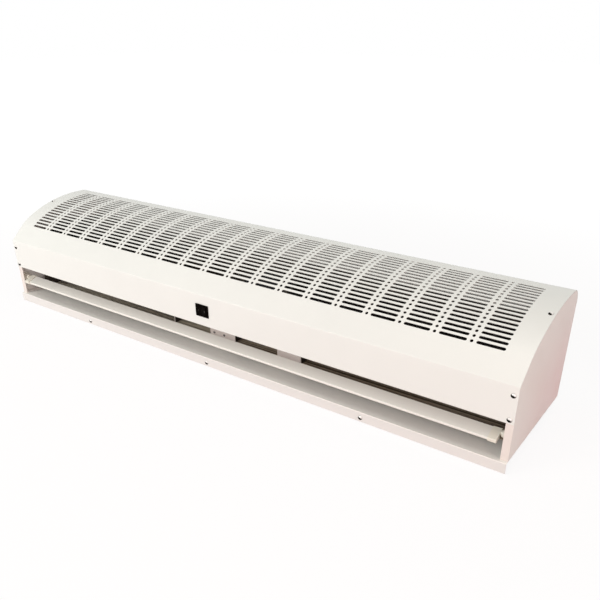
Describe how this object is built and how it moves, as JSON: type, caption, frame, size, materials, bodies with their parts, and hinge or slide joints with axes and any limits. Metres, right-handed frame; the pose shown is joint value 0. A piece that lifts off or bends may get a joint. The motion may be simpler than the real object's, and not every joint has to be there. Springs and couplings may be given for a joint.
{
  "type": "air curtain",
  "caption": "Long wall-mounted air curtain with a perforated curved cover, a cross-flow fan, an adjustable outlet vane and a rocker switch.",
  "frame": {"origin": "middle of the underside of the whole unit's box, on the wall side of the wall plate", "axes": "+X along the unit towards its right end, +Y from the outlet face to the back, +Z away from the wall"},
  "size_m": [1.204, 0.247, 0.2225],
  "materials": {
    "cover": "satin",
    "panel": "satin",
    "bay_panel": "satin",
    "vane": "satin",
    "wall_plate": "galvanised",
    "airway": "matte",
    "impeller": "matte black",
    "steel": "satin",
    "screws": "satin",
    "motor": "matte",
    "rubber": "matte",
    "vane_mouldings": "satin",
    "switch": "satin",
    "terminal_box": "matte",
    "terminal_block": "matte",
    "capacitor": "matte"
  },
  "bodies": {
    "housing": {"base_panel": "panel", "bearing_left": "steel", "bearing_right": "steel", "bearing_seat_left": "rubber", "bearing_seat_right": "rubber", "cable_grommet": "rubber", "capacitor": "capacitor", "cheek_bay_left": "bay_panel", "cheek_bay_right": "bay_panel", "cheek_outer_left": "airway", "cheek_outer_right": "airway", "cover_screw_crown_left": "screws", "cover_screw_crown_right": "screws", "cover_screw_lower_left": "screws", "cover_screw_lower_right": "screws", "cover_screw_upper_left": "screws", "cover_screw_upper_right": "screws", "end_plate_left": "panel", "end_plate_right": "panel", "grille_cover": "cover", "lip_screw_left": "screws", "lip_screw_middle": "screws", "lip_screw_right": "screws", "motor_bracket_left": "bay_panel", "motor_bracket_right": "bay_panel", "motor_clamp_left": "bay_panel", "motor_clamp_right": "bay_panel", "motor_housing": "motor", "motor_ring_left": "rubber", "motor_ring_right": "rubber", "switch_housing": "switch", "terminal_block": "terminal_block", "terminal_box": "terminal_box", "terminal_box_lid": "terminal_box", "tongue": "airway", "vane_bush_left": "vane_mouldings", "vane_bush_right": "vane_mouldings", "volute": "airway", "wall_plate": "wall_plate"},
    "rotor": {"motor_shaft": "steel", "axle_left": "steel", "axle_right": "steel", "impeller_left": "impeller", "impeller_right": "impeller"},
    "vane": {"vane_blade": "vane", "vane_cap_left": "vane_mouldings", "vane_cap_right": "vane_mouldings"},
    "rocker": {"switch_rocker": "switch"}
  },
  "joints": [
    {"name": "rotor_spin", "type": "hinge", "parent": "housing", "child": "rotor", "pos_m": [0, 0.0047, 0.12], "axis": [1, 0, 0], "continuous": true},
    {"name": "vane_tilt", "type": "hinge", "parent": "housing", "child": "vane", "pos_m": [0, -0.1033, 0.057], "axis": [1, 0, 0], "range_deg": [-50, 40]},
    {"name": "switch_rock", "type": "hinge", "parent": "housing", "child": "rocker", "pos_m": [-0.004, -0.1133, 0.1155], "axis": [0, 0, 1], "range_deg": [-8, 8]}
  ]
}
